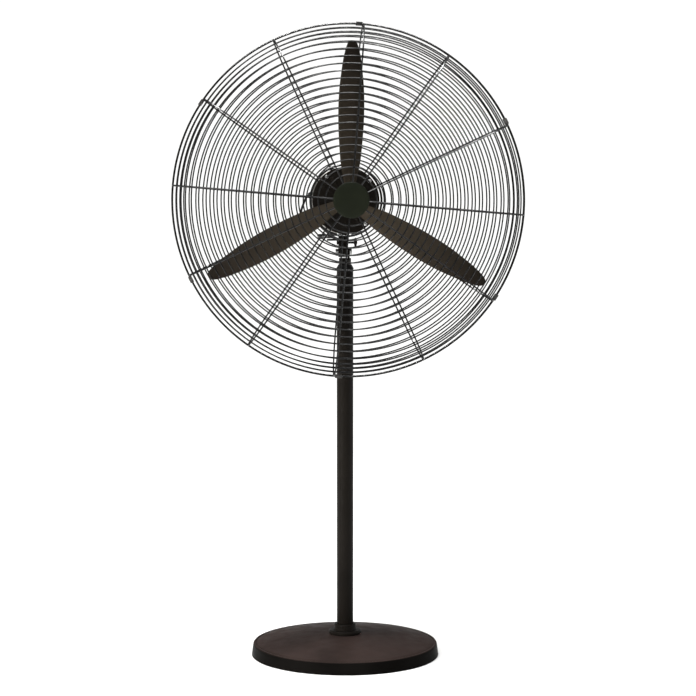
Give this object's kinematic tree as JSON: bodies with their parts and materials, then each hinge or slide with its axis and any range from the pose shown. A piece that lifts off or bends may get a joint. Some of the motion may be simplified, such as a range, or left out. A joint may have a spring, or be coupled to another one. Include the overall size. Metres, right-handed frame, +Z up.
{
  "type": "pedestal fan",
  "caption": "Tall oscillating pedestal fan with a weighted round base, telescopic pole, tilting and swinging motor head, slender blades and a domed wire guard.",
  "frame": {"origin": "on the floor under the middle of the base, on the pole's axis", "axes": "+Z up along the pole; the fan blows towards -Y; +X to the right for someone facing the fan's front"},
  "size_m": [0.713, 0.3948, 1.3161],
  "materials": {
    "rubber": "matt black rubber sheet",
    "cast_iron": "raw grey cast iron",
    "base_paint": "brown-black satin powder coat",
    "black_paint": "near-black satin powder coat",
    "steel": "zinc-plated steel",
    "dark_steel": "blackened steel",
    "black_plastic": "fine-grained black plastic",
    "nylon": "natural nylon",
    "cast_aluminium": "as-cast aluminium",
    "winding": "lacquered copper winding on a steel core",
    "guard_wire": "semi-gloss black coated wire",
    "clip_steel": "dark zinc-plated strap",
    "badge": "green-black satin plastic, left blank",
    "lead_sheath": "black cable sheath",
    "blade_paint": "dark bronze-black coated aluminium blade"
  },
  "bodies": {
    "stand": {"base_pad": "rubber", "base_weight": "cast_iron", "base_cover": "base_paint", "pole_foot": "black_paint", "base_stud": "steel", "base_washer": "steel", "base_nut": "steel", "outer_tube": "black_paint", "tube_collar": "black_plastic"},
    "height_clamp": {"height_knob": "black_plastic"},
    "mast": {"inner_tube": "dark_steel", "slide_bush": "nylon", "neck_stem": "black_paint", "tilt_bolt": "steel", "tilt_nut": "steel"},
    "neck": {"swing_socket": "black_paint"},
    "swing_clamp": {"lock_screw": "dark_steel"},
    "head": {"swing_pin": "steel", "front_bell": "cast_aluminium", "motor_shell": "black_paint", "rear_bell": "cast_aluminium", "back_cover": "black_plastic", "stator": "winding", "front_bearing": "steel", "rear_bearing": "steel", "gearbox_case": "cast_aluminium", "speed_switch": "black_plastic", "capacitor": "black_plastic", "cord_gland": "rubber", "guard_plate": "black_paint", "plate_screw_1": "steel", "plate_screw_2": "steel", "plate_screw_3": "steel", "plate_screw_4": "steel", "rear_guard": "guard_wire", "front_guard": "guard_wire", "guard_badge": "badge", "guard_clip_1": "clip_steel", "guard_clip_2": "clip_steel", "guard_clip_3": "clip_steel", "guard_clip_4": "clip_steel", "guard_clip_5": "clip_steel", "guard_clip_6": "clip_steel", "lead_gland_front": "rubber", "lead_gland_rear": "rubber", "motor_lead": "lead_sheath"},
    "crank": {"crank_arm": "dark_steel", "crank_shaft": "steel", "worm_gear": "nylon"},
    "link": {"link_arm": "dark_steel"},
    "speed_dial": {"speed_knob": "black_plastic"},
    "clutch": {"clutch_knob": "black_plastic"},
    "rotor": {"rotor_shaft": "steel", "rotor_core": "steel", "worm": "steel", "blade_hub": "cast_aluminium", "hub_nut": "steel", "blade_1": "blade_paint", "blade_2": "blade_paint", "blade_3": "blade_paint"}
  },
  "joints": [
    {"name": "height_slide", "type": "slide", "parent": "stand", "child": "mast", "axis": [0, 0, 1], "range_m": [0, 0.28]},
    {"name": "height_knob_turn", "type": "hinge", "parent": "stand", "child": "height_clamp", "pos_m": [0, 0.03, 0.786], "axis": [0, 1, 0], "range_deg": [-180, 180]},
    {"name": "head_tilt", "type": "hinge", "parent": "mast", "child": "neck", "pos_m": [0, 0, 0.841], "axis": [-1, 0, 0], "range_deg": [-16, 24]},
    {"name": "lock_screw_turn", "type": "hinge", "parent": "neck", "child": "swing_clamp", "pos_m": [0, -0.00577, 0.86172], "axis": [1, 0, 0], "range_deg": [-90, 90]},
    {"name": "head_swing", "type": "hinge", "parent": "neck", "child": "head", "pos_m": [-0.004, 0.00314, 0.87084], "axis": [0, 0.1045, 0.9945], "range_deg": [-40, 40]},
    {"name": "crank_turn", "type": "hinge", "parent": "head", "child": "crank", "pos_m": [-0.02, 0.06689, 0.88424], "axis": [0, 0.1045, 0.9945], "range_deg": [-40, 40]},
    {"name": "link_turn", "type": "hinge", "parent": "crank", "child": "link", "pos_m": [-0.046, 0.0649, 0.86535], "axis": [0, 0.1045, 0.9945], "range_deg": [-40, 40]},
    {"name": "speed_dial_turn", "type": "hinge", "parent": "head", "child": "speed_dial", "pos_m": [0, 0.12315, 0.91252], "axis": [0, 0.9945, -0.1045], "range_deg": [0, 135]},
    {"name": "clutch_pull", "type": "slide", "parent": "head", "child": "clutch", "axis": [0, 0.1045, 0.9945], "range_m": [0, 0.008]},
    {"name": "blade_spin", "type": "hinge", "parent": "head", "child": "rotor", "pos_m": [0, -0.11324, 0.95949], "axis": [0, -0.9945, 0.1045], "continuous": true}
  ],
  "couplings": [
    {"joint": "crank_turn", "follows": "head_swing", "ratio": -1},
    {"joint": "link_turn", "follows": "head_swing", "ratio": 1}
  ]
}
